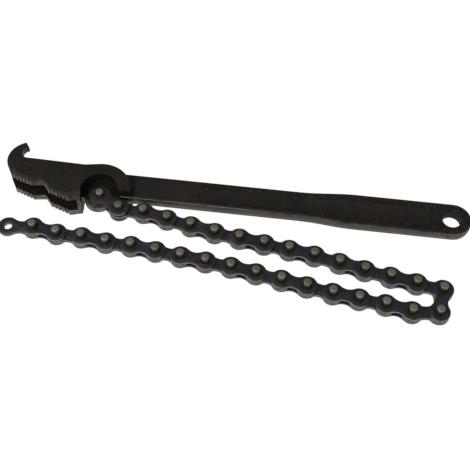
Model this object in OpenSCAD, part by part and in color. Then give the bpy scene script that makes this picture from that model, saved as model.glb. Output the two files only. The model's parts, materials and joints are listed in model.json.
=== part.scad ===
// Chain oil filter wrench: one forged handle with a double jaw and a hook, and a flat-link chain.
// Origin at the middle of the hang hole. +X runs from the head to the butt, +Y to the hook's side,
// +Z is square to the tool's flat. The chain lies folded in front of the handle.

/* [Handle] */
// Hang hole to anchor pin, along the handle
handle_span = 222.3; // [180:0.1:300]
// Thickness of the handle
handle_t = 7.5; // [6:0.1:8]
// Width of the shank behind the head
shank_w = 18.4; // [15:0.1:20]
// Width of the grip
grip_w = 23; // [21:0.1:28]
// Hang hole to the place where the shank starts to widen
flare_start = 96; // [85:1:110]
// Hang hole to the place where the grip has its full width
flare_end = 60; // [40:1:75]
// Hang hole to the end of the butt
butt_margin = 12.1; // [11:0.1:20]
// Diameter of the hang hole
hang_hole_d = 11.5; // [8:0.1:14]
// Length of the sunk panel in each face
panel_len = 147; // [100:1:150]
// Hang hole to the panel's near end
panel_margin = 12.5; // [11:0.5:25]
// Width of the rims beside the panel
rim_w = 2.7; // [2:0.1:4]
// Depth of the sunk panel
panel_depth = 0.8; // [0.3:0.1:1.5]

/* [Head] */
// Thickness over both jaw flanges
head_t = 19.2; // [18:0.1:24]
// Distance of the anchor pin in front of the handle's middle line
anchor_offset = 8.7; // [8:0.1:10]
// Radius of the boss over the anchor pin
boss_r = 19.9; // [18.5:0.1:21]
// How far the back edge dips below the top of the boss
back_dip = 1.9; // [1:0.1:3]
// Radius of the pocket that frees the anchor pin in the flanges
pocket_r = 11.8; // [11:0.1:13]
// Anchor pin to the edge of the relief cut on the handle's side, across the handle
relief_y = 0.8; // [0.4:0.1:3]
// Anchor pin to the middle of the nose, along the handle
nose_back = 49.6; // [47:0.1:52]
// Anchor pin to the middle of the nose, across the handle
nose_up = 17.8; // [16.5:0.1:19]
// Radius of the nose and of the hook's outer side
nose_r = 14; // [13.5:0.1:15]
// Radius of the hook's mouth
mouth_r = 4.6; // [4:0.1:5]
// Middle of the nose to the middle of the mouth, along the handle
mouth_back = 1.3; // [1:0.1:1.8]
// Middle of the nose to the middle of the mouth, across the handle
mouth_up = 5.6; // [5.2:0.1:6]
// Anchor pin to the start of the toothed edges, along the handle
jaw_back = 58.4; // [56:0.1:60]
// Anchor pin to the start of the toothed edges, across the handle
jaw_up = 5.2; // [4:0.1:6]
// Slope of both toothed edges to the handle, degrees
jaw_slope = 19.5; // [15:0.5:22]
// Length of the toothed edge at the nose
front_jaw_len = 15.6; // [14:0.1:17]
// Length of the toothed edge at the anchor
rear_jaw_len = 15.8; // [14:0.1:17]
// Length of the plain edge after the rear teeth
rear_plain = 0.4; // [0.2:0.1:2]
// How far the rear toothed edge lies behind the line of the front one
jaw_step = 0.2; // [0:0.1:2]
// Width of the smooth notch between the toothed edges
notch_w = 11.2; // [9:0.1:13]
// Depth of the notch behind the line of the front toothed edge
notch_depth = 3; // [2:0.1:5]
// Pitch of the teeth
tooth_pitch = 2.4; // [1.5:0.1:3]
// Depth of the teeth
tooth_depth = 0.9; // [0.5:0.1:1.2]
// Lean of the upper toothed edges, back from square, degrees
jaw_lean = 25; // [15:1:35]
// Slant of the upper teeth towards the nose, degrees
tooth_slant = 22; // [0:1:30]
// How far the upper toothed edges lie behind the lower ones, at the channel
lean_setback = 0.9; // [0.9:0.1:2]
// Depth of the channel behind the teeth
channel_depth = 8; // [6:0.1:9]
// Width of the wall that closes the channel at the anchor
end_wall = 2; // [1.8:0.1:3]
// How far the jaw's heel, after the plain edge, reaches into the circle of the pocket
heel_lap = 0.4; // [0.2:0.1:1]
// Anchor pin to the corner of the heel, across the handle
heel_down = 7.2; // [6.5:0.1:8]
// Thickness of the tongue that carries the anchor pin
tongue_t = 4.6; // [3:0.1:5.5]
// How far the tongue's round end lies off the anchor pin, away from the chain
lobe_off = 1.2; // [0:0.1:1.5]

/* [Chain] */
// Distance between pins
link_pitch = 15.875; // [15:0.005:17]
// Radius of the eyes of a link plate
eye_r = 6.4; // [5:0.1:6.7]
// Radius of the larger eye at the anchor pin
anchor_eye_r = 7; // [6.5:0.1:7.5]
// Width of a link plate at its waist
waist_w = 7.8; // [6:0.1:9]
// Thickness of a link plate
plate_t = 1.3; // [1.1:0.05:1.9]
// Diameter of the pins
pin_d = 5; // [4:0.1:6]
// Length of the pins
pin_len = 14.4; // [12:0.1:18]
// Chamfer at the ends of the pins
pin_chamfer = 0.5; // [0.2:0.1:1]

/* [Fits] */
// Gap between neighbouring plates
plate_gap = 0.12; // [0.1:0.01:0.2]
// Gap between the tongue and the second link's eye
tongue_gap = 0.4; // [0.2:0.05:0.8]
// Gap between the chain and the walls of the channel
channel_gap = 1.9; // [0.5:0.05:2.2]
// Running fit of a pin in an inner plate or in the tongue, on the radius
pin_run = 0.05; // [0.02:0.01:0.1]
// Fit of a pin in its own outer plates, on the radius
pin_fixed = 0.02; // [0.01:0.01:0.04]

/* [Hidden] */
$fn = 64;
links = 32;
pairs = links / 2;
// Steps of a round stretch in an outline
arc_steps = 10;
// Small overlap of joined shapes and of cuts
over = 1;

// How the chain lies: links in a row, and their heading from the handle's +X
lie = [
    [1, -30.4], [1, -2.6], [3, -11.5], [4, -8.2], [2, -12.1], [3, -9.8],
    [1, -97.6], [1, -175.5],
    [1, -190.6], [2, -186.8], [4, -189.6], [4, -186.7], [1, -182.4], [1, -187.2],
    [1, -181.9], [1, -190.1], [1, -176.8]
];
heading = [for (run = lie) for (i = [1:run[0]]) run[1]];
function station(n) = n == 0 ? anchor
    : station(n - 1) + link_pitch * [cos(heading[n - 1]), sin(heading[n - 1])];

anchor = [-handle_span, -anchor_offset];
pin_r = pin_d / 2;
tongue_r = link_pitch - eye_r - tongue_gap;
chain_t = 4 * plate_t + 3 * plate_gap;
channel_w = chain_t + 2 * channel_gap;
flange_t = (head_t - channel_w) / 2;
inner_z = plate_gap / 2;
outer_z = inner_z + plate_t + plate_gap;
// The first link's plates stand further out, beside the tongue
anchor_z = tongue_t / 2 + plate_gap;

function two(n) = str(n < 10 ? "0" : "", n);
function outer_name(i) = str("outer_link_plates_", two(i));
function pins_name(i) = str("link_pins_", two(i));
function inner_name(i) = str("inner_link_plates_", two(i));

black_oxide = [0.15, 0.14, 0.13];
blued_plate = [0.20, 0.20, 0.24];
pin_steel = [0.45, 0.44, 0.38];

// Outline helpers
function polar(r, a) = r * [cos(a), sin(a)];
function arc(c, r, a0, a1, n = arc_steps) = [for (i = [0:n]) c + polar(r, a0 + (a1 - a0) * i / n)];

// A toothed edge from a point, in the direction of an angle: root, tip, root and so on
function teeth(from, len, angle) =
    let (n = floor(len / tooth_pitch), step = len / n)
    [for (i = [0:n - 1]) each [
        from + polar(i * step, angle),
        from + polar((i + 0.5) * step, angle) + polar(tooth_depth, angle - 90)
    ]];
// A point beside a line: distance along it, and depth to its left
function beside(from, angle, along, depth) = from + polar(along, angle) + polar(depth, angle + 90);
// The whole front of the jaw: toothed edge, notch, toothed edge
function jaw_edge(from, angle) = concat(
    teeth(from, front_jaw_len, angle),
    [
        beside(from, angle, front_jaw_len, 0),
        beside(from, angle, front_jaw_len + notch_w * notch_share, notch_depth)
    ],
    teeth(beside(from, angle, rear_jaw_at, jaw_step), rear_jaw_len, angle),
    [beside(from, angle, jaw_end, jaw_step)]
);

// Head outline, measured from the anchor pin
nose = [-nose_back, nose_up];
mouth = nose + [-mouth_back, mouth_up];
// Where the outer arc ends at the tips of the upper and the lower prong
upper_tip_angle = 111;
lower_tip_angle = 125;
// The tip's inner corner lies this much further round the mouth
tip_bevel = 4;
nose_end_angle = 222;
// A point on the jaw: distance along the front toothed edge's line, and depth behind it
function on_jaw(along, depth) = beside([-jaw_back, jaw_up], -jaw_slope, along, depth);
rear_jaw_at = front_jaw_len + notch_w;
jaw_end = rear_jaw_at + rear_jaw_len + rear_plain;
// Where the notch is deepest, as a share of its width
notch_share = 0.54;
relief_in = [sqrt(pocket_r * pocket_r - relief_y * relief_y), relief_y];
relief_angle = atan2(relief_in[1], relief_in[0]);
heel = [heel_lap - pocket_r, -heel_down];
pocket_end_angle = 180 + acos(-heel[0] / pocket_r);
boss_start_angle = asin(relief_y / boss_r);
boss_end_angle = 98;
// The back edge, from its lowest place beside the boss to the root of the hook
dip_angle = 50;
dip = [-boss_r * cos(dip_angle), boss_r - back_dip];
hook_root = mouth + [mouth_r, -mouth_r];
function back_edge(x) = dip[1] + (hook_root[1] - dip[1]) * (x - dip[0]) / (hook_root[0] - dip[0]);

function boss_edge() = arc([0, 0], boss_r, boss_start_angle, boss_end_angle, 2 * arc_steps);
function pocket_edge() = arc([0, 0], pocket_r, pocket_end_angle, relief_angle, 2 * arc_steps);

module flange_outline(tip_angle) {
    polygon(concat(
        boss_edge(),
        [dip, hook_root],
        arc(mouth, mouth_r, 270, tip_angle - tip_bevel, 2 * arc_steps),
        arc(nose, nose_r, tip_angle, nose_end_angle, 2 * arc_steps),
        jaw_edge(on_jaw(0, 0), -jaw_slope),
        [heel],
        pocket_edge()
    ));
}

// All that lies behind the upper toothed edges, which lean back and towards the nose from the channel up.
// The outline is drawn on the tilted plane so that it comes out true on every level one.
function on_tilted(p) = [
    p[0] * cos(tooth_slant),
    (p[1] + p[0] * sin(tooth_slant) * tan(jaw_lean)) * cos(jaw_lean)
];
module behind_leaning_jaw() {
    reach = nose_back + boss_r;
    start = on_jaw(0, lean_setback);
    // The heel's line goes on into the pocket, so the boss beyond stays whole
    heel_line = heel - on_jaw(jaw_end, jaw_step);
    heel_turn = jaw_slope + atan2(heel_line[1], heel_line[0]);
    in_pocket = [jaw_end, jaw_step] + polar(norm(heel_line) + pocket_r / 2, heel_turn);
    outline = concat(
        [[-reach, 2 * reach], [-reach, -reach]],
        jaw_edge([0, 0], 0),
        [in_pocket, [in_pocket[0], -reach], [2 * reach, -reach], [2 * reach, 2 * reach]]
    );
    translate([start[0], start[1], channel_w / 2])
        rotate(-jaw_slope)
            rotate([-jaw_lean, -tooth_slant, 0])
                linear_extrude(6 * reach, center = true) polygon([for (p = outline) on_tilted(p)]);
}

// One of the two jaw flanges, which carries a prong of the hook
module flange(side, tip_angle) {
    translate([0, 0, side * (head_t - flange_t) / 2])
        linear_extrude(flange_t, center = true) flange_outline(tip_angle);
}

// The solid behind the channel, between the flanges
core_left = hook_root[0] + 3 * over;
channel_floor = jaw_step + channel_depth;
wall_x = heel[0] - end_wall;
wall_along = (wall_x + jaw_back - channel_floor * sin(jaw_slope)) / cos(jaw_slope);
function heel_edge(x) =
    let (from = on_jaw(jaw_end, jaw_step))
    from[1] + (heel[1] - from[1]) * (x - from[0]) / (heel[0] - from[0]);
module core_outline() {
    polygon(concat(
        boss_edge(),
        [
            dip,
            [core_left, back_edge(core_left)],
            on_jaw(front_jaw_len, channel_floor),
            on_jaw(rear_jaw_at, channel_floor),
            on_jaw(wall_along, channel_floor),
            [wall_x, heel_edge(wall_x)],
            heel
        ],
        pocket_edge()
    ));
}

// The floor of the pocket, and the lobe on it that carries the anchor pin. The lobe is off-set square to the
// first link's swing, so it stays clear of the second link's eye.
lobe_angle = heading[0] - 100;
module tongue_outline() {
    union() {
        translate(polar(lobe_off, lobe_angle)) circle(tongue_r);
        polygon(concat([[0, 0]], arc([0, 0], pocket_r + over, relief_angle, pocket_end_angle, 2 * arc_steps)));
    }
}

// The handle's outline with its edges moved in by a rim
function handle_half(x) = x < -flare_start ? shank_w / 2
    : x > -flare_end ? grip_w / 2
    : shank_w / 2 + (grip_w - shank_w) / 4 * (1 - cos(180 * (x + flare_start) / (flare_start - flare_end)));
function handle_edge(x0, x1, inset) = concat(
    [[x0, handle_half(x0) - inset]],
    [for (i = [0:arc_steps])
        let (x = -flare_start + (flare_start - flare_end) * i / arc_steps)
        [x, handle_half(x) - inset]],
    [[x1, handle_half(x1) - inset]]
);
function flip_y(points) = [for (i = [len(points) - 1:-1:0]) [points[i][0], -points[i][1]]];

module handle_outline() {
    butt_x = butt_margin - grip_w / 2;
    upper = handle_edge(anchor[0] + pocket_r + over, butt_x, 0);
    polygon(concat(upper, arc([butt_x, 0], grip_w / 2, 90, -90, 2 * arc_steps), flip_y(upper)));
}

module panel_outline() {
    upper = handle_edge(-panel_margin - panel_len, -panel_margin, rim_w);
    polygon(concat(upper, flip_y(upper)));
}

module head() {
    translate(anchor) {
        flange(-1, lower_tip_angle);
        intersection() {
            flange(1, upper_tip_angle);
            behind_leaning_jaw();
        }
        linear_extrude(channel_w + over / 10, center = true) core_outline();
        linear_extrude(tongue_t, center = true) tongue_outline();
    }
}

module handle() {
    difference() {
        linear_extrude(handle_t, center = true) handle_outline();
        cylinder(d = hang_hole_d, h = handle_t + over, center = true);
        for (side = [-1, 1])
            translate([0, 0, side * handle_t / 2])
                linear_extrude(2 * panel_depth, center = true) panel_outline();
    }
}

module handle_forging() {
    color(black_oxide)
        difference() {
            union() {
                head();
                handle();
            }
            translate(anchor) cylinder(r = pin_r + pin_run, h = head_t, center = true);
        }
}

// A link plate's outline: two round eyes, on the origin and on +X, and a waist that touches both
function hollow_r(r) = (pow(link_pitch / 2, 2) + pow(waist_w / 2, 2) - r * r) / (2 * r - waist_w);
function touch_angle(r) = atan2(waist_w / 2 + hollow_r(r), link_pitch / 2);
function hollow(r, side) = [link_pitch / 2, side * (waist_w / 2 + hollow_r(r))];
function link_edge(r0, r1) =
    let (t0 = touch_angle(r0), t1 = touch_angle(r1), few = arc_steps / 2)
    concat(
        arc([link_pitch, 0], r1, t1 - 180, 180 - t1, 2 * arc_steps),
        arc(hollow(r1, 1), hollow_r(r1), 360 - t1, 270, few),
        arc(hollow(r0, 1), hollow_r(r0), 270, 180 + t0, few),
        arc([0, 0], r0, t0, 360 - t0, 2 * arc_steps),
        arc(hollow(r0, -1), hollow_r(r0), 180 - t0, 90, few),
        arc(hollow(r1, -1), hollow_r(r1), 90, t1, few)
    );

module link_plate(first_eye_r, hole_r) {
    difference() {
        linear_extrude(plate_t) polygon(link_edge(first_eye_r, eye_r));
        for (x = [0, link_pitch])
            translate([x, 0, plate_t / 2]) cylinder(r = hole_r, h = plate_t + over, center = true);
    }
}

// Two like plates, one on each side of the chain's middle plane
module plate_pair(z, first_eye_r, hole_r) {
    for (side = [0, 1])
        mirror([0, 0, side]) translate([0, 0, z]) link_plate(first_eye_r, hole_r);
}

module on_link(n) {
    translate(station(n - 1)) rotate(heading[n - 1]) children();
}

module outer_link_plates(i) {
    color(blued_plate)
        on_link(2 * i - 1)
            plate_pair(i == 1 ? anchor_z : outer_z, i == 1 ? anchor_eye_r : eye_r, pin_r + pin_fixed);
}

module inner_link_plates(i) {
    color(blued_plate) on_link(2 * i) plate_pair(inner_z, eye_r, pin_r + pin_run);
}

module link_pin() {
    half = pin_len / 2;
    rotate_extrude()
        polygon([
            [0, -half], [pin_r - pin_chamfer, -half], [pin_r, pin_chamfer - half],
            [pin_r, half - pin_chamfer], [pin_r - pin_chamfer, half], [0, half]
        ]);
}

module link_pins(i) {
    color(pin_steel)
        on_link(2 * i - 1)
            for (x = [0, link_pitch]) translate([x, 0, 0]) link_pin();
}

handle_forging();
for (i = [1:pairs]) {
    outer_link_plates(i);
    link_pins(i);
    inner_link_plates(i);
}
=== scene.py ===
"""Looks of the chain oil filter wrench: a black forged handle and head, and a heat-blued flat-link chain."""
import json
import math

import bmesh
import bpy
from mathutils import Matrix, Vector


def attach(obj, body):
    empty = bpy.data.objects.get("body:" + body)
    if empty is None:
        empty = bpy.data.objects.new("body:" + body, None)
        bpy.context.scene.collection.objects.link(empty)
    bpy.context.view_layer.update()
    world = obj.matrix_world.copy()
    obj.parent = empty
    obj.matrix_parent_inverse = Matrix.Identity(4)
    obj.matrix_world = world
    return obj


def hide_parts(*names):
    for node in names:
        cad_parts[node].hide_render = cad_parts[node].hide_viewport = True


MM = 0.001
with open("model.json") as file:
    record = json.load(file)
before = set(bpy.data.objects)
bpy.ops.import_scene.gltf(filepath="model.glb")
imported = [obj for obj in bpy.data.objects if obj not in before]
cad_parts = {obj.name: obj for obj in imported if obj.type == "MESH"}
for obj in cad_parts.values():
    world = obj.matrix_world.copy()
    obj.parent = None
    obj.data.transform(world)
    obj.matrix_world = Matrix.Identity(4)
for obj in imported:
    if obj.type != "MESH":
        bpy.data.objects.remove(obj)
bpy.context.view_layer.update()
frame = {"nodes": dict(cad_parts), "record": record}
nodes = frame["nodes"]

# Sizes of the forging, in millimetres, as in the part's source
HEAD_HALF = 9.6
CHANNEL_HALF = 4.68
TONGUE_HALF = 2.3
HANDLE_HALF = 3.75
PANEL_FLOOR = 2.95
PANEL_MIDDLE = -86
ANCHOR = Vector((-222.3, -8.7))
MOUTH = ANCHOR + Vector((-50.9, 23.4))
MOUTH_R = 4.6
POCKET_R = 11.8
RELIEF_Y = 0.8
HOOK_TIP = ANCHOR + Vector((-53.4, 29.3))
HANG_HOLE_R = 5.75
BUTT_MIDDLE = 0.6
# The front end of the jaw's line, and the line's direction
JAW_START = ANCHOR + Vector((-58.4, 5.2))
JAW_SLOPE = math.radians(19.5)
JAW_ALONG = Vector((math.cos(JAW_SLOPE), -math.sin(JAW_SLOPE)))
JAW_BEHIND = Vector((-JAW_ALONG.y, JAW_ALONG.x))
JAW_LENGTH = 43

# Bounds that tell the forging's regions apart, in millimetres, and the margins that go with them
NEAR, MARGIN, REACH = 0.02, 0.1, 0.3
HEAD_END = ANCHOR.x + 19.6
CHANNEL_END = ANCHOR.x - 6
CHANNEL_BACK = 16
DRAFT_FROM = ANCHOR.x + 8
RIM_FROM = ANCHOR.x + 12
PANEL_FROM, PANEL_TO = -165, -10
DRAFT_RIM_Y, DRAFT_RIM_R = 8.6, 10.5
RIM_Y, RIM_R = 8.1, 8.5
PANEL_Y = 8.6
TIP_REACH = 3.2
WALL_START, WALL_END = 10.8, 21
TONGUE_FRONT = -1
FLANK_START, FLANK_END = -1, 46
FLANK_FRONT, FLANK_BACK = -2, 10
CREST_BACK = 6
CREST_LEAST = 2
HEEL_START, HEEL_END = 42.5, 48.8
HEEL_BACK = 5.5
# Plate edges nearer to the chain's mid-plane than this lie between plates
BETWEEN_PLATES = 2.38

# The share of its width that the handle keeps at its lower rim, and those of the width and the length that
# the sunk panel keeps at its floor
DRAFT = 0.945
PANEL_SLOPE = 0.74
PANEL_END_SLOPE = 0.986
# Widths of the rounded edges, in millimetres
PANEL_ROUND, FLOOR_ROUND = 0.3, 0.2
UPPER_RIM_ROUND, LOWER_RIM_ROUND, HOLE_ROUND = 0.7, 1.0, 1.0
HEAD_ROUND, MOUTH_ROUND, TIP_ROUND, TONGUE_ROUND = 0.5, 0.3, 0.25, 0.35
UPPER_CREST_ROUND, LOWER_CREST_ROUND = 0.32, 0.22
PLATE_ROUND, PIN_ROUND = 0.22, 0.25
# An edge is rounded where its faces turn by more than the first, and shaded sharp above the second. Faces
# that turn by less than the third are one face in the CAD, all in degrees.
SHARP, SMOOTH_BELOW, SAME_FACE = 25, 35, 0.5
# Level edges climb by less than the first, edges below the second are slivers, and points of the CAD's
# triangles that are closer than the third are one point, all in millimetres
LEVEL, SLIVER, SAME_POINT = 0.001, 0.02, 0.001
# How far a face's normal points up or down, from 0 to 1: a sheer, an upright or a lying face, a sloping wall
# of the panel, a rounded edge of a plate and the end of a pin. A heel faces the chain by more than the last.
SHEER_BELOW, UPRIGHT_BELOW, LYING_ABOVE = 0.1, 0.6, 0.9
PANEL_WALL_BELOW, PLATE_EDGE_BELOW, PIN_END_ABOVE = 0.95, 0.99, 0.3
HEEL_FACING = 0.3
# The corner that the forging's mesh is sorted from, in metres, off every plane of symmetry
SORT_FROM = (1.0, 0.7, 0.4)
# Material slots of the forging after its black skin, then those of the plates and pins after the first
WORN, MILLED, PAINTED_SHADE, PITTED_SHADE, TONGUE_TOP, CREST = range(1, 7)
PLATE_EDGE, PLATE_PAINTED_SHADE = 1, 2
PIN_END = 1

# The stage, in metres: the tool's middle, and how far the floor lies below the head
TOOL_MIDDLE = (-0.13, 0, 0)
FLOOR_SIZE = 6
FLOOR_GAP = 0.05 * MM
# The floor and its white: a share of plain emission, and the rest matt to keep the shadow
FLOOR_SHARE, FLOOR_STRENGTH, FLOOR_GREY = 0.93, 1.07, 0.86
WORLD_GREY = 0.11


# Camera: fitted to the pins of the chain in the photo, in the part's frame, with its place in millimetres
SENSOR = 36
FOCAL_PIXELS, IMAGE_PIXELS = 899, 470
CAMERA_PLACE = Vector((-94.59, -333.32, 466.04))
CAMERA_RIGHT = Vector((0.9921, 0.12545, 0))
CAMERA_FORWARD = Vector((-0.0694, 0.5487, -0.8331))
CLIP_NEAR, CLIP_FAR = 20, 20000


def set_camera():
    data = bpy.data.cameras.new("photo_camera")
    data.sensor_width = SENSOR
    data.lens = SENSOR * FOCAL_PIXELS / IMAGE_PIXELS
    data.clip_start, data.clip_end = CLIP_NEAR * MM, CLIP_FAR * MM
    camera = bpy.data.objects.new("photo_camera", data)
    bpy.context.scene.collection.objects.link(camera)
    right = CAMERA_RIGHT.normalized()
    forward = CAMERA_FORWARD.normalized()
    up = right.cross(forward)
    place = Matrix((right, up, -forward)).transposed().to_4x4()
    place.translation = CAMERA_PLACE * MM
    camera.matrix_world = place
    bpy.context.scene.camera = camera


# Materials
def paint(hex_colour):
    """An sRGB hex colour as linear red, green, blue and alpha."""
    channels = [int(hex_colour[i:i + 2], 16) / 255 for i in (1, 3, 5)]
    return [c / 12.92 if c <= 0.04045 else ((c + 0.055) / 1.055) ** 2.4 for c in channels] + [1.0]


def add(tree, kind, settings=None, **links):
    """Adds a node; settings are its own properties, links its inputs as a value or a socket.

    An input goes by its name, or by _ and its number: a colour Mix blends _6 into _7, and gives output 2.
    """
    node = tree.nodes.new(kind)
    for key, value in (settings or {}).items():
        setattr(node, key, value)
    for key, value in links.items():
        socket = node.inputs[int(key[1:]) if key[1:].isdigit() else key.replace("_", " ")]
        if isinstance(value, bpy.types.NodeSocket):
            tree.links.new(value, socket)
        else:
            socket.default_value = value
    return node


def steps(ramp_node, *stops):
    """Sets a colour ramp's stops: place and colour."""
    ramp = ramp_node.color_ramp
    while len(ramp.elements) < len(stops):
        ramp.elements.new(0.5)
    for element, (place, colour) in zip(ramp.elements, stops):
        element.position, element.color = place, colour
    return ramp_node


def grey(value):
    return (value, value, value, 1)


def scale_for(size):
    """The scale of a noise whose spots are about that size, in millimetres."""
    return 1 / (size * MM)


COLOUR_MIX = {"data_type": "RGBA"}


def new_material(name):
    material = bpy.data.materials.new(name)
    material.use_nodes = True
    tree = material.node_tree
    tree.nodes.clear()
    out = add(tree, "ShaderNodeOutputMaterial")
    place = add(tree, "ShaderNodeTexCoord").outputs["Object"]
    return material, tree, out, place


def forged_black_oxide():
    # Drop-forged steel, shot-blasted and black-oxided: a warm near-black skin with a fine grain, shallow
    # scale pits, and brownish patches where the oxide is thin. Grain of 0.5 mm, pits of 2 mm and patches
    # of 18 mm. Where the chain leaves the boss it is darkened to near-black as painted shade. Round the hang
    # hole the scale is coarser: pale and dark specks of 1 mm.
    material, tree, out, place = new_material("forged_black_oxide_steel")
    patches = add(tree, "ShaderNodeTexNoise", Vector=place, Scale=scale_for(18), Detail=6.0, Roughness=0.62)
    skin = steps(add(tree, "ShaderNodeValToRGB", Fac=patches.outputs["Fac"]),
                 (0.30, paint("#4a4743")), (0.52, paint("#504b46")), (0.74, paint("#5c534b")))
    pits = add(tree, "ShaderNodeTexNoise", Vector=place, Scale=scale_for(2), Detail=4.0, Roughness=0.6)
    grain = add(tree, "ShaderNodeTexNoise", Vector=place, Scale=scale_for(0.5), Detail=2.0, Roughness=0.5)
    specks = add(tree, "ShaderNodeTexNoise", Vector=place, Scale=scale_for(1), Detail=3.0, Roughness=0.6)
    coarse = steps(add(tree, "ShaderNodeValToRGB", Fac=specks.outputs["Fac"]),
                   (0.36, paint("#2a2521")), (0.52, paint("#4d4640")), (0.68, paint("#8a8078")))
    along = add(tree, "ShaderNodeSeparateXYZ", Vector=place)
    butt = add(tree, "ShaderNodeMapRange", Value=along.outputs["X"], From_Min=-16 * MM, From_Max=-9 * MM,
               To_Min=0.06, To_Max=0.6)
    speckled_skin = add(tree, "ShaderNodeMix", COLOUR_MIX, Factor=butt.outputs[0], _6=skin.outputs["Color"],
                   _7=coarse.outputs["Color"])
    # Painted shade: near-black where the chain leaves the boss, fading out from 3.5 to 8.5 mm
    shade_from = ((ANCHOR.x + 14.5) * MM, (ANCHOR.y + 0.5) * MM, 2.5 * MM)
    reach = add(tree, "ShaderNodeVectorMath", {"operation": "DISTANCE"}, _0=place, _1=shade_from)
    unshaded = add(tree, "ShaderNodeMapRange", Value=reach.outputs["Value"], From_Min=3.5 * MM, From_Max=8.5 * MM)
    colour = add(tree, "ShaderNodeMix", COLOUR_MIX, Factor=unshaded.outputs[0], _6=paint("#14110e"),
                 _7=speckled_skin.outputs[2])
    dull = add(tree, "ShaderNodeMapRange", Value=pits.outputs["Fac"], From_Min=0.3, From_Max=0.7,
               To_Min=0.40, To_Max=0.60)
    height = add(tree, "ShaderNodeMath", {"operation": "MULTIPLY_ADD"}, _0=grain.outputs["Fac"], _1=0.35,
                 _2=pits.outputs["Fac"])
    bump = add(tree, "ShaderNodeBump", Strength=0.5, Distance=0.22 * MM, Height=height.outputs[0])
    shader = add(tree, "ShaderNodeBsdfPrincipled", Base_Color=colour.outputs[2], Metallic=0.85,
                 Roughness=dull.outputs[0], Normal=bump.outputs["Normal"])
    tree.links.new(shader.outputs[0], out.inputs[0])
    return material


def worn_forged_edge():
    # Edges of the forging where handling has rubbed the oxide thin: greyer, brighter and smoother steel.
    material, tree, out, place = new_material("worn_forged_edge")
    mottle = add(tree, "ShaderNodeTexNoise", Vector=place, Scale=scale_for(6), Detail=5.0, Roughness=0.65)
    colour = steps(add(tree, "ShaderNodeValToRGB", Fac=mottle.outputs["Fac"]),
                   (0.35, paint("#4c4742")), (0.60, paint("#716a63")), (0.75, paint("#918981")))
    bump = add(tree, "ShaderNodeBump", Strength=0.35, Distance=0.2 * MM, Height=mottle.outputs["Fac"])
    shader = add(tree, "ShaderNodeBsdfPrincipled", Base_Color=colour.outputs["Color"], Metallic=0.9,
                 Roughness=0.42, Normal=bump.outputs["Normal"])
    tree.links.new(shader.outputs[0], out.inputs[0])
    return material


def milled_jaw_teeth():
    # The toothed edges are milled after forging, so their flanks are lighter, with brown oxide in the roots.
    # The upper flanks fade into the dark skin of the top face.
    material, tree, out, place = new_material("milled_jaw_teeth")
    stain = add(tree, "ShaderNodeTexNoise", Vector=place, Scale=scale_for(4), Detail=5.0, Roughness=0.7)
    milled = steps(add(tree, "ShaderNodeValToRGB", Fac=stain.outputs["Fac"]),
                   (0.30, paint("#332c27")), (0.50, paint("#645b53")), (0.70, paint("#898078")))
    height = add(tree, "ShaderNodeSeparateXYZ", Vector=place)
    fade = add(tree, "ShaderNodeMapRange", Value=height.outputs["Z"], From_Min=5.8 * MM, From_Max=9.3 * MM,
               To_Min=0.0, To_Max=0.85)
    colour = add(tree, "ShaderNodeMix", COLOUR_MIX, Factor=fade.outputs[0], _6=milled.outputs["Color"],
                 _7=paint("#3b3531"))
    bump = add(tree, "ShaderNodeBump", Strength=0.5, Distance=0.25 * MM, Height=stain.outputs["Fac"])
    shader = add(tree, "ShaderNodeBsdfPrincipled", Base_Color=colour.outputs[2], Metallic=0.85,
                 Roughness=0.5, Normal=bump.outputs["Normal"])
    tree.links.new(shader.outputs[0], out.inputs[0])
    return material


def forge_scale_painted_shade():
    # Painted shade for the channel, the pocket, the wall behind the anchor and the gaps between the plates:
    # forge scale made almost black and matt, with rusty specks of 1 mm.
    material, tree, out, place = new_material("forge_scale_painted_shade")
    specks = add(tree, "ShaderNodeTexNoise", Vector=place, Scale=scale_for(1), Detail=3.0, Roughness=0.7)
    colour = steps(add(tree, "ShaderNodeValToRGB", Fac=specks.outputs["Fac"]),
                   (0.40, paint("#0f0c0a")), (0.58, paint("#1f1913")), (0.70, paint("#463729")))
    bump = add(tree, "ShaderNodeBump", Strength=0.5, Distance=0.3 * MM, Height=specks.outputs["Fac"])
    shader = add(tree, "ShaderNodeBsdfPrincipled", Base_Color=colour.outputs["Color"], Metallic=0.0,
                 Roughness=0.7, Specular_IOR_Level=0.25, Normal=bump.outputs["Normal"])
    tree.links.new(shader.outputs[0], out.inputs[0])
    return material


def tongue_top_painted_shade():
    # The tongue's top: near-black painted shade round the pin, and rubbed to the grey skin towards its free
    # end.
    material, tree, out, place = new_material("tongue_steel_painted_shade")
    skin = add(tree, "ShaderNodeTexNoise", Vector=place, Scale=scale_for(3), Detail=4.0, Roughness=0.6)
    along = add(tree, "ShaderNodeSeparateXYZ", Vector=place)
    share = add(tree, "ShaderNodeMapRange", Value=along.outputs["Y"], From_Min=(ANCHOR.y - 8) * MM,
                From_Max=(ANCHOR.y - 3) * MM)
    pale_tone = steps(add(tree, "ShaderNodeValToRGB", Fac=skin.outputs["Fac"]),
                 (0.35, paint("#443e38")), (0.65, paint("#756c63")))
    colour = add(tree, "ShaderNodeMix", COLOUR_MIX, Factor=share.outputs[0], _6=pale_tone.outputs["Color"],
                 _7=paint("#1a1613"))
    bump = add(tree, "ShaderNodeBump", Strength=0.4, Distance=0.2 * MM, Height=skin.outputs["Fac"])
    shader = add(tree, "ShaderNodeBsdfPrincipled", Base_Color=colour.outputs[2], Metallic=0.6,
                 Roughness=0.55, Normal=bump.outputs["Normal"])
    tree.links.new(shader.outputs[0], out.inputs[0])
    return material


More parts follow.
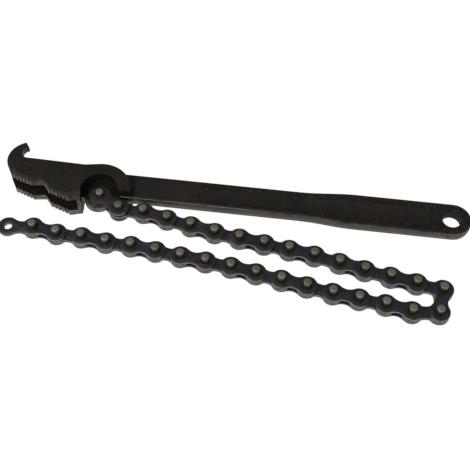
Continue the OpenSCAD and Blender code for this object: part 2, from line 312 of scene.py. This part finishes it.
def crest_painted_highlight():
    # Crests of the upper teeth: a painted highlight at their lower ends, dark like the skin above.
    material, tree, out, place = new_material("tooth_crest_painted_highlight")
    mottle = add(tree, "ShaderNodeTexNoise", Vector=place, Scale=scale_for(2), Detail=3.0, Roughness=0.6)
    pale_tone = steps(add(tree, "ShaderNodeValToRGB", Fac=mottle.outputs["Fac"]),
                 (0.35, paint("#6f675f")), (0.65, paint("#b5ada5")))
    height = add(tree, "ShaderNodeSeparateXYZ", Vector=place)
    fade = add(tree, "ShaderNodeMapRange", Value=height.outputs["Z"], From_Min=5.2 * MM, From_Max=8.2 * MM)
    colour = add(tree, "ShaderNodeMix", COLOUR_MIX, Factor=fade.outputs[0], _6=pale_tone.outputs["Color"],
                 _7=paint("#3b3531"))
    shader = add(tree, "ShaderNodeBsdfPrincipled", Base_Color=colour.outputs[2], Metallic=0.9,
                 Roughness=0.4)
    tree.links.new(shader.outputs[0], out.inputs[0])
    return material


def pitted_scale_painted_shade():
    # Walls of the sunk panel and of the hang hole: coarse matt scale, made near-black as painted shade in
    # these hollows, with brown and pale specks.
    material, tree, out, place = new_material("pitted_brown_scale_painted_shade")
    specks = add(tree, "ShaderNodeTexNoise", Vector=place, Scale=scale_for(1.4), Detail=3.0, Roughness=0.65)
    colour = steps(add(tree, "ShaderNodeValToRGB", Fac=specks.outputs["Fac"]),
                   (0.38, paint("#0f0c0a")), (0.56, paint("#241d18")), (0.72, paint("#5e5148")))
    bump = add(tree, "ShaderNodeBump", Strength=0.6, Distance=0.4 * MM, Height=specks.outputs["Fac"])
    shader = add(tree, "ShaderNodeBsdfPrincipled", Base_Color=colour.outputs["Color"], Metallic=0.1,
                 Roughness=0.8, Normal=bump.outputs["Normal"])
    tree.links.new(shader.outputs[0], out.inputs[0])
    return material


def blued_plate():
    # Stamped link plates, hardened and tempered: a smooth dark skin that drifts between olive grey, slate,
    # violet and brown from link to link. Drift over 14 mm, handling scuffs of 1.5 mm.
    material, tree, out, place = new_material("heat_blued_link_plate")
    drift = add(tree, "ShaderNodeTexNoise", Vector=place, Scale=scale_for(14), Detail=3.0, Roughness=0.55)
    colour = steps(add(tree, "ShaderNodeValToRGB", Fac=drift.outputs["Fac"]),
                   (0.30, paint("#65655a")), (0.44, paint("#606163")), (0.56, paint("#65616e")),
                   (0.70, paint("#73685c")))
    scuffs = add(tree, "ShaderNodeTexNoise", Vector=place, Scale=scale_for(1.5), Detail=5.0, Roughness=0.7)
    dull = add(tree, "ShaderNodeMapRange", Value=scuffs.outputs["Fac"], From_Min=0.35, From_Max=0.7,
               To_Min=0.34, To_Max=0.52)
    bump = add(tree, "ShaderNodeBump", Strength=0.3, Distance=0.1 * MM, Height=scuffs.outputs["Fac"])
    shader = add(tree, "ShaderNodeBsdfPrincipled", Base_Color=colour.outputs["Color"], Metallic=0.9,
                 Roughness=dull.outputs[0], Normal=bump.outputs["Normal"])
    tree.links.new(shader.outputs[0], out.inputs[0])
    return material


def stamped_edge():
    # Sheared edges of the plates: barer, pale grey steel with a torn lower band, drawn as stretched noise.
    material, tree, out, place = new_material("stamped_plate_edge")
    flat = add(tree, "ShaderNodeMapping", Vector=place, Scale=(1, 1, 2.5))
    tear = add(tree, "ShaderNodeTexNoise", Vector=flat.outputs[0], Scale=scale_for(3), Detail=4.0,
               Roughness=0.6)
    colour = steps(add(tree, "ShaderNodeValToRGB", Fac=tear.outputs["Fac"]),
                   (0.32, paint("#5e5a56")), (0.55, paint("#827e79")), (0.72, paint("#9a9691")))
    bump = add(tree, "ShaderNodeBump", Strength=0.3, Distance=0.1 * MM, Height=tear.outputs["Fac"])
    shader = add(tree, "ShaderNodeBsdfPrincipled", Base_Color=colour.outputs["Color"], Metallic=0.9,
                 Roughness=0.4, Normal=bump.outputs["Normal"])
    tree.links.new(shader.outputs[0], out.inputs[0])
    return material


def pin_side():
    # Sides of the pins: ground steel with an oiled brown film, darker towards the plates.
    material, tree, out, place = new_material("oiled_pin_steel")
    film = add(tree, "ShaderNodeTexNoise", Vector=place, Scale=scale_for(6), Detail=4.0, Roughness=0.65)
    colour = steps(add(tree, "ShaderNodeValToRGB", Fac=film.outputs["Fac"]),
                   (0.35, paint("#5d5748")), (0.55, paint("#726751")), (0.70, paint("#6a5139")))
    along = add(tree, "ShaderNodeSeparateXYZ", Vector=place)
    height = add(tree, "ShaderNodeMath", {"operation": "ABSOLUTE"}, _0=along.outputs["Z"])
    film_share = add(tree, "ShaderNodeMapRange", Value=height.outputs[0], From_Min=2.8 * MM, From_Max=6.6 * MM,
                To_Min=0.22, To_Max=1.0)
    dark = add(tree, "ShaderNodeMix", COLOUR_MIX, Factor=film_share.outputs[0], _6=paint("#1a1613"),
               _7=colour.outputs["Color"])
    shader = add(tree, "ShaderNodeBsdfPrincipled", Base_Color=dark.outputs[2], Metallic=0.7, Roughness=0.5)
    tree.links.new(shader.outputs[0], out.inputs[0])
    return material


def pin_end():
    # Sheared and tumbled ends of the pins: dull olive-grey steel, a little different from pin to pin.
    material, tree, out, place = new_material("tumbled_pin_end")
    tone = add(tree, "ShaderNodeTexNoise", Vector=place, Scale=scale_for(12), Detail=2.0, Roughness=0.5)
    colour = steps(add(tree, "ShaderNodeValToRGB", Fac=tone.outputs["Fac"]),
                   (0.35, paint("#8f8b76")), (0.55, paint("#a3a08b")), (0.70, paint("#978472")))
    marks = add(tree, "ShaderNodeTexNoise", Vector=place, Scale=scale_for(0.9), Detail=3.0, Roughness=0.6)
    bump = add(tree, "ShaderNodeBump", Strength=0.5, Distance=0.2 * MM, Height=marks.outputs["Fac"])
    shader = add(tree, "ShaderNodeBsdfPrincipled", Base_Color=colour.outputs["Color"], Metallic=0.55,
                 Roughness=0.55, Normal=bump.outputs["Normal"])
    tree.links.new(shader.outputs[0], out.inputs[0])
    return material


# Modelling helpers
def copy_of(node, name, materials):
    """A copy of a CAD node as a new piece, its loose triangles merged into whole faces, in edit mode."""
    bpy.ops.object.select_all(action="DESELECT")
    piece = bpy.data.objects.new(name, nodes[node].data.copy())
    piece.data.name = name
    bpy.context.scene.collection.objects.link(piece)
    piece.data.materials.clear()
    for material in materials:
        piece.data.materials.append(material)
    bpy.context.view_layer.objects.active = piece
    piece.select_set(True)
    bpy.ops.object.mode_set(mode="EDIT")
    bpy.ops.mesh.select_mode(type="VERT")
    bpy.ops.mesh.select_all(action="SELECT")
    bpy.ops.mesh.customdata_custom_splitnormals_clear()
    bpy.ops.mesh.remove_doubles(threshold=SAME_POINT * MM)
    bpy.ops.mesh.dissolve_limited(angle_limit=math.radians(SAME_FACE))
    return piece


def pick(piece, kind, test):
    """Selects the piece's verts, edges or faces that pass a test; returns how many."""
    bpy.ops.mesh.select_mode(type={"verts": "VERT", "edges": "EDGE", "faces": "FACE"}[kind])
    bpy.ops.mesh.select_all(action="DESELECT")
    shape = bmesh.from_edit_mesh(piece.data)
    found = [e for e in getattr(shape, kind) if test(e)]
    for e in found:
        e.select = True
    shape.select_flush_mode()
    bmesh.update_edit_mesh(piece.data)
    return len(found)


def round_edges(piece, test, width, cuts, material=-1):
    """Rounds the sharp edges that pass a test."""
    def sharp(edge):
        return len(edge.link_faces) == 2 and edge.calc_face_angle(0) > math.radians(SHARP) and test(edge)
    if pick(piece, "edges", sharp):
        bpy.ops.mesh.bevel(offset=width * MM, segments=cuts, affect="EDGES", clamp_overlap=True,
                           material=material)


def give(piece, test, slot):
    """Gives the faces that pass a test the material in that slot."""
    if pick(piece, "faces", test):
        piece.active_material_index = slot
        bpy.ops.object.material_slot_assign()


def finish_piece(piece, body, stands_for):
    bpy.ops.object.mode_set(mode="OBJECT")
    bpy.ops.object.shade_smooth_by_angle(angle=math.radians(SMOOTH_BELOW))
    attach(piece, body)
    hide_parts(stands_for)


def plan(point):
    """A point's place in the tool's plane, in millimetres."""
    return Vector((point.x, point.y)) / MM


def spot(face):
    """The place of a face's middle in the tool's plane, and its height above or below that plane."""
    centre = face.calc_center_median()
    return plan(centre), abs(centre.z) / MM


def upright(face):
    return abs(face.normal.z) < UPRIGHT_BELOW


def lying(face):
    return abs(face.normal.z) > LYING_ABOVE


def level(edge, height):
    """Whether an edge lies at that height above or below the mid-plane."""
    return all(abs(abs(v.co.z) / MM - height) < NEAR for v in edge.verts)


def rise(edge):
    """How far an edge climbs, in millimetres."""
    return abs(edge.verts[0].co.z - edge.verts[1].co.z) / MM


def middle(edge):
    return plan((edge.verts[0].co + edge.verts[1].co) / 2)


def middle_height(edge):
    return (edge.verts[0].co.z + edge.verts[1].co.z) / 2 / MM


def on_jaw(point):
    """Distance along the jaw's line and behind it."""
    off = point - JAW_START
    return off.dot(JAW_ALONG), off.dot(JAW_BEHIND)


# The forging
def in_head(point):
    return point.x < HEAD_END


def model_forging():
    piece = copy_of("handle_forging", "forging", [
        forged_black_oxide(), worn_forged_edge(), milled_jaw_teeth(), forge_scale_painted_shade(), pitted_scale_painted_shade(),
        tongue_top_painted_shade(), crest_painted_highlight()])
    draft_handle(piece)
    slope_panel(piece)
    round_handle(piece)
    round_head(piece)
    round_crests(piece)
    dress_head(piece)
    clear_slivers(piece)
    finish_piece(piece, "handle", "handle_forging")


def draft_handle(piece):
    # Below the parting line in the mid-plane the handle's sides turn in
    bpy.ops.mesh.select_all(action="SELECT")
    bpy.ops.mesh.bisect(plane_co=(0, 0, 0), plane_no=(0, 0, 1))

    def on_rim(point):
        if point.x > BUTT_MIDDLE:
            return (point - Vector((BUTT_MIDDLE, 0))).length > DRAFT_RIM_R
        return abs(point.y) > DRAFT_RIM_Y and point.x > DRAFT_FROM

    def rim_vert(v):
        return abs(v.co.z / MM + HANDLE_HALF) < NEAR and on_rim(plan(v.co))

    def past_butt(v):
        return v.co.x / MM > BUTT_MIDDLE + MARGIN

    pick(piece, "verts", lambda v: rim_vert(v) and past_butt(v))
    bpy.ops.transform.resize(value=(DRAFT, DRAFT, 1), center_override=(BUTT_MIDDLE * MM, 0, 0))
    pick(piece, "verts", lambda v: rim_vert(v) and not past_butt(v))
    bpy.ops.transform.resize(value=(1, DRAFT, 1), center_override=(0, 0, 0))
    pick(piece, "edges", lambda e: level(e, 0) and on_rim(middle(e)))
    bpy.ops.mesh.mark_sharp()


def slope_panel(piece):
    # The sunk panel's walls slope in to its floor
    pick(piece, "verts", lambda v: abs(abs(v.co.z) / MM - PANEL_FLOOR) < NEAR)
    bpy.ops.transform.resize(value=(PANEL_END_SLOPE, PANEL_SLOPE, 1),
                             center_override=(PANEL_MIDDLE * MM, 0, 0))

    def wall(f):
        point, height = spot(f)
        sloping = SHEER_BELOW < abs(f.normal.z) < PANEL_WALL_BELOW
        return sloping and PANEL_FLOOR < height < HANDLE_HALF - MARGIN and not in_head(point)
    # The sloping walls get the scale, near-black as painted shade in the panel
    give(piece, wall, PITTED_SHADE)


def round_handle(piece):
    def handle_rim(e):
        point = middle(e)
        return level(e, HANDLE_HALF) and point.x > RIM_FROM and (
            abs(point.y) > RIM_Y if point.x < BUTT_MIDDLE else point.length > RIM_R)

    def panel_edge(e):
        point = middle(e)
        return level(e, HANDLE_HALF) and PANEL_FROM < point.x < PANEL_TO and abs(point.y) < PANEL_Y

    def in_hang_hole(point):
        return point.length < HANG_HOLE_R + MARGIN

    # The panel's edges and the hang hole's rim and wall get the scale, near-black as painted shade
    round_edges(piece, panel_edge, PANEL_ROUND, 2, PITTED_SHADE)
    round_edges(piece, lambda e: level(e, PANEL_FLOOR), FLOOR_ROUND, 2, PITTED_SHADE)
    round_edges(piece, lambda e: handle_rim(e) and middle_height(e) > 0, UPPER_RIM_ROUND, 3, WORN)
    round_edges(piece, lambda e: handle_rim(e) and middle_height(e) < 0, LOWER_RIM_ROUND, 3, WORN)
    round_edges(piece, lambda e: level(e, HANDLE_HALF) and in_hang_hole(middle(e)), HOLE_ROUND, 3, PITTED_SHADE)
    give(piece, lambda f: abs(f.normal.z) < SHEER_BELOW and in_hang_hole(spot(f)[0]), PITTED_SHADE)


def round_head(piece):
    def head_edge(e):
        along, behind = on_jaw(middle(e))
        toothed = REACH < along < JAW_LENGTH + REACH and FLANK_FRONT < behind < FLANK_BACK
        return level(e, HEAD_HALF) and not toothed

    def near_tip(e):
        return (middle(e) - HOOK_TIP).length < TIP_REACH

    def in_mouth(e):
        return (middle(e) - MOUTH).length < MOUTH_R + MARGIN

    def in_pocket(e):
        return (middle(e) - ANCHOR).length < POCKET_R + REACH

    def outline(e):
        return head_edge(e) and not (near_tip(e) or in_mouth(e) or in_pocket(e))

    def tongue_edge(e):
        return level(e, TONGUE_HALF) and (middle(e) - ANCHOR).length < POCKET_R

    round_edges(piece, outline, HEAD_ROUND, 3, WORN)
    round_edges(piece, lambda e: head_edge(e) and in_pocket(e), HEAD_ROUND, 2, WORN)
    round_edges(piece, lambda e: head_edge(e) and in_mouth(e) and not near_tip(e), MOUTH_ROUND, 2)
    round_edges(piece, lambda e: head_edge(e) and near_tip(e), TIP_ROUND, 2, WORN)
    round_edges(piece, tongue_edge, TONGUE_ROUND, 2, WORN)


def round_crests(piece):
    # Crests of the teeth; the upper ones get a painted highlight
    def crest(e):
        along, behind = on_jaw(middle(e))
        toothed = -REACH < along < JAW_LENGTH and behind < CREST_BACK and abs(middle_height(e)) > CHANNEL_HALF
        return toothed and e.is_convex and rise(e) > CREST_LEAST and all(upright(f) for f in e.link_faces)

    round_edges(piece, lambda e: crest(e) and middle_height(e) > 0, UPPER_CREST_ROUND, 2, CREST)
    round_edges(piece, lambda e: crest(e) and middle_height(e) < 0, LOWER_CREST_ROUND, 2)


def dress_head(piece):
    # Milled flanks of the jaw
    def flank(f):
        point, height = spot(f)
        along, behind = on_jaw(point)
        return f.material_index != CREST and upright(f) and FLANK_START < along < FLANK_END and \
            FLANK_FRONT < behind < FLANK_BACK and height > CHANNEL_HALF + MARGIN
    give(piece, flank, MILLED)

    # Painted shade: near-black scale between the flanges, in the pocket and on the wall behind the anchor
    def shaded_recess(f):
        point, height = spot(f)
        off = point - ANCHOR
        on_wall = abs(off.y - RELIEF_Y) < REACH and WALL_START < off.x < WALL_END
        in_pocket = off.length < POCKET_R + REACH
        below_top = height < HEAD_HALF - REACH
        return in_head(point) and (
            height < CHANNEL_HALF + NEAR and point.x < CHANNEL_END and lying(f)
            or height < CHANNEL_HALF and point.x < CHANNEL_END and on_jaw(point)[1] < CHANNEL_BACK
            or TONGUE_HALF + MARGIN < height and below_top and in_pocket
            or HANDLE_HALF < height and below_top and on_wall)
    give(piece, shaded_recess, PAINTED_SHADE)

    # The heel of the jaw and the wall that ends the channel are milled too
    def heel(f):
        along, behind = on_jaw(spot(f)[0])
        on_heel = HEEL_START < along < HEEL_END and FLANK_FRONT < behind < HEEL_BACK
        return on_heel and f.normal.y < -HEEL_FACING
    give(piece, heel, MILLED)

    # The chain rubs the tongue's side
    def tongue_side(f):
        point, height = spot(f)
        off = point - ANCHOR
        on_side = off.length < POCKET_R - REACH and off.y < TONGUE_FRONT
        return on_side and height < TONGUE_HALF + MARGIN and not lying(f)
    give(piece, tongue_side, WORN)

    def tongue_top(f):
        point, height = spot(f)
        return abs(height - TONGUE_HALF) < NEAR and lying(f) and in_head(point)
    give(piece, tongue_top, TONGUE_TOP)


def clear_slivers(piece):
    # Faces with many corners are cut to triangles here, so that the slivers left by the bevels can go. The
    # bevels leave the mesh in another order each run, so it is first sorted by distance from a far corner.
    bpy.context.scene.cursor.location = SORT_FROM
    bpy.ops.mesh.select_mode(type="VERT")
    bpy.ops.mesh.select_all(action="SELECT")
    bpy.ops.mesh.sort_elements(type="CURSOR_DISTANCE", elements={"VERT", "EDGE", "FACE"})
    bpy.ops.mesh.quads_convert_to_tris(quad_method="BEAUTY", ngon_method="BEAUTY")
    bpy.ops.mesh.dissolve_degenerate(threshold=SLIVER * MM)
    if pick(piece, "faces", lambda f: any(e.is_boundary for e in f.edges)):
        bpy.ops.mesh.delete(type="FACE")


# The chain
def model_plates(node, body, plate, edge, plate_shade):
    piece = copy_of(node, node + "_stamped", [plate, edge, plate_shade])
    round_edges(piece, lambda e: rise(e) < LEVEL, PLATE_ROUND, 2, PLATE_EDGE)
    give(piece, lambda f: not lying(f), PLATE_EDGE)
    # The rounded edges between the plates get the near-black scale as a painted shadow
    give(piece, lambda f: SHEER_BELOW < abs(f.normal.z) < PLATE_EDGE_BELOW and spot(f)[1] < BETWEEN_PLATES,
         PLATE_PAINTED_SHADE)
    finish_piece(piece, body, node)


def model_pins(node, body, side, end):
    piece = copy_of(node, node + "_tumbled", [side, end])
    round_edges(piece, lambda e: rise(e) < LEVEL, PIN_ROUND, 2)
    give(piece, lambda f: abs(f.normal.z) > PIN_END_ABOVE, PIN_END)
    finish_piece(piece, body, node)


def model_chain():
    plate, edge, side, end = blued_plate(), stamped_edge(), pin_side(), pin_end()
    plate_shade = bpy.data.materials["forge_scale_painted_shade"]
    for body, members in frame["record"]["behaviour"]["bodies"].items():
        for node in members:
            if node.startswith(("outer_link_plates", "inner_link_plates")):
                model_plates(node, body, plate, edge, plate_shade)
            elif node.startswith("link_pins"):
                model_pins(node, body, side, end)


# Floor, backdrop and light
def set_stage():
    bpy.ops.object.select_all(action="DESELECT")
    height = -HEAD_HALF * MM - FLOOR_GAP
    bpy.ops.mesh.primitive_plane_add(size=FLOOR_SIZE, location=(TOOL_MIDDLE[0], 0, height))
    floor = bpy.context.active_object
    floor.name = "floor"
    material, tree, out, _ = new_material("white_sweep")
    path = add(tree, "ShaderNodeLightPath")
    seen = add(tree, "ShaderNodeMath", {"operation": "MAXIMUM"}, _0=path.outputs["Is Camera Ray"],
               _1=path.outputs["Is Glossy Ray"])
    seen = add(tree, "ShaderNodeMath", {"operation": "MAXIMUM"}, _0=seen.outputs[0],
               _1=path.outputs["Is Transmission Ray"])
    share = add(tree, "ShaderNodeMath", {"operation": "MULTIPLY"}, _0=seen.outputs[0], _1=FLOOR_SHARE)
    white = add(tree, "ShaderNodeEmission", Color=grey(1), Strength=FLOOR_STRENGTH)
    matt = add(tree, "ShaderNodeBsdfDiffuse", Color=grey(FLOOR_GREY))
    mix = add(tree, "ShaderNodeMixShader", _0=share.outputs[0], _1=matt.outputs[0], _2=white.outputs[0])
    tree.links.new(mix.outputs[0], out.inputs[0])
    floor.data.materials.append(material)


def set_light():
    world = bpy.data.worlds.new("studio")
    bpy.context.scene.world = world
    world.use_nodes = True
    tree = world.node_tree
    tree.nodes.clear()
    path = add(tree, "ShaderNodeLightPath")
    tone = add(tree, "ShaderNodeMix", COLOUR_MIX, Factor=path.outputs["Is Camera Ray"], _6=grey(WORLD_GREY),
               _7=grey(1))
    light = add(tree, "ShaderNodeBackground", Color=tone.outputs[2], Strength=1.0)
    tree.links.new(light.outputs[0], add(tree, "ShaderNodeOutputWorld").inputs[0])
    # Name, place and size in metres, and power in watts
    for name, place, size, power in (("key", (-0.75, -0.55, 0.95), 0.7, 7),
                                     ("fill", (0.75, -0.75, 0.7), 0.9, 2.5)):
        data = bpy.data.lights.new(name, "AREA")
        data.size, data.energy = size, power
        lamp = bpy.data.objects.new(name, data)
        lamp.location = place
        lamp.rotation_euler = (Vector(TOOL_MIDDLE) - Vector(place)).to_track_quat("-Z", "Y").to_euler()
        bpy.context.scene.collection.objects.link(lamp)
    bpy.context.scene.view_settings.view_transform = "Standard"


set_camera()
model_forging()
model_chain()
set_stage()
set_light()
